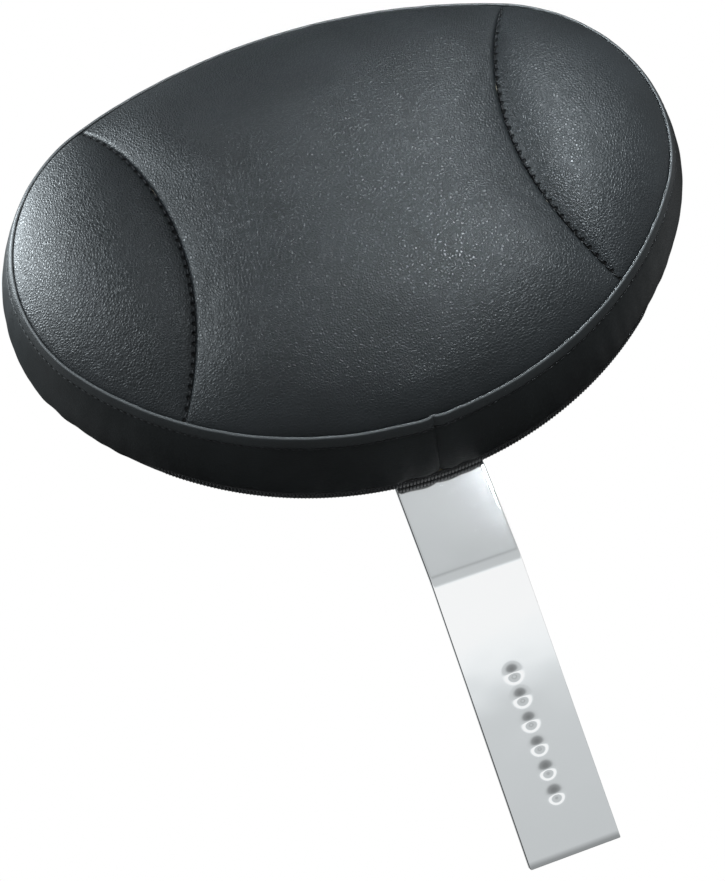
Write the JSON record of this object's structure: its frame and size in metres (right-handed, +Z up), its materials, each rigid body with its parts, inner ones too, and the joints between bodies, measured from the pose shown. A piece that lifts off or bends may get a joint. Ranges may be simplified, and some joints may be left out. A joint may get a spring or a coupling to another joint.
{
  "type": "motorcycle driver backrest",
  "caption": "Oval padded backrest with a crowned, seamed vinyl cover on a bent flat chrome post; dished stops along the post set its height in a seat bracket.",
  "frame": {"origin": "centre of the post's lower end face", "axes": "+Z up along the post's lower part, +X along the post's width, -Y towards the rider who leans on the pad"},
  "size_m": [0.304, 0.0894, 0.368],
  "materials": {
    "chrome_post": "polished chrome plate on flat steel bar",
    "front_vinyl": "black grained vinyl, soft semi-gloss",
    "band_vinyl": "black grained vinyl, semi-gloss",
    "back_vinyl": "black plain vinyl, satin",
    "zip_tape": "black woven polyester tape",
    "zip_nylon": "black nylon coil",
    "board_wood": "raw plywood",
    "foam": "open-cell foam",
    "screw_steel": "black oxide",
    "zinc_steel": "zinc plated"
  },
  "bodies": {
    "root": {"post_bar": "chrome_post", "pad_board": "board_wood", "pad_foam": "foam", "cover_centre_panel": "front_vinyl", "cover_left_panel": "front_vinyl", "cover_right_panel": "front_vinyl", "cover_side_band": "band_vinyl", "cover_back_panel": "back_vinyl", "zip_front_tape": "zip_tape", "zip_back_tape": "zip_tape", "zip_coil": "zip_nylon", "post_screws": "screw_steel", "flat_washers": "zinc_steel", "lock_washers": "zinc_steel", "tee_nuts": "zinc_steel"}
  },
  "joints": []
}
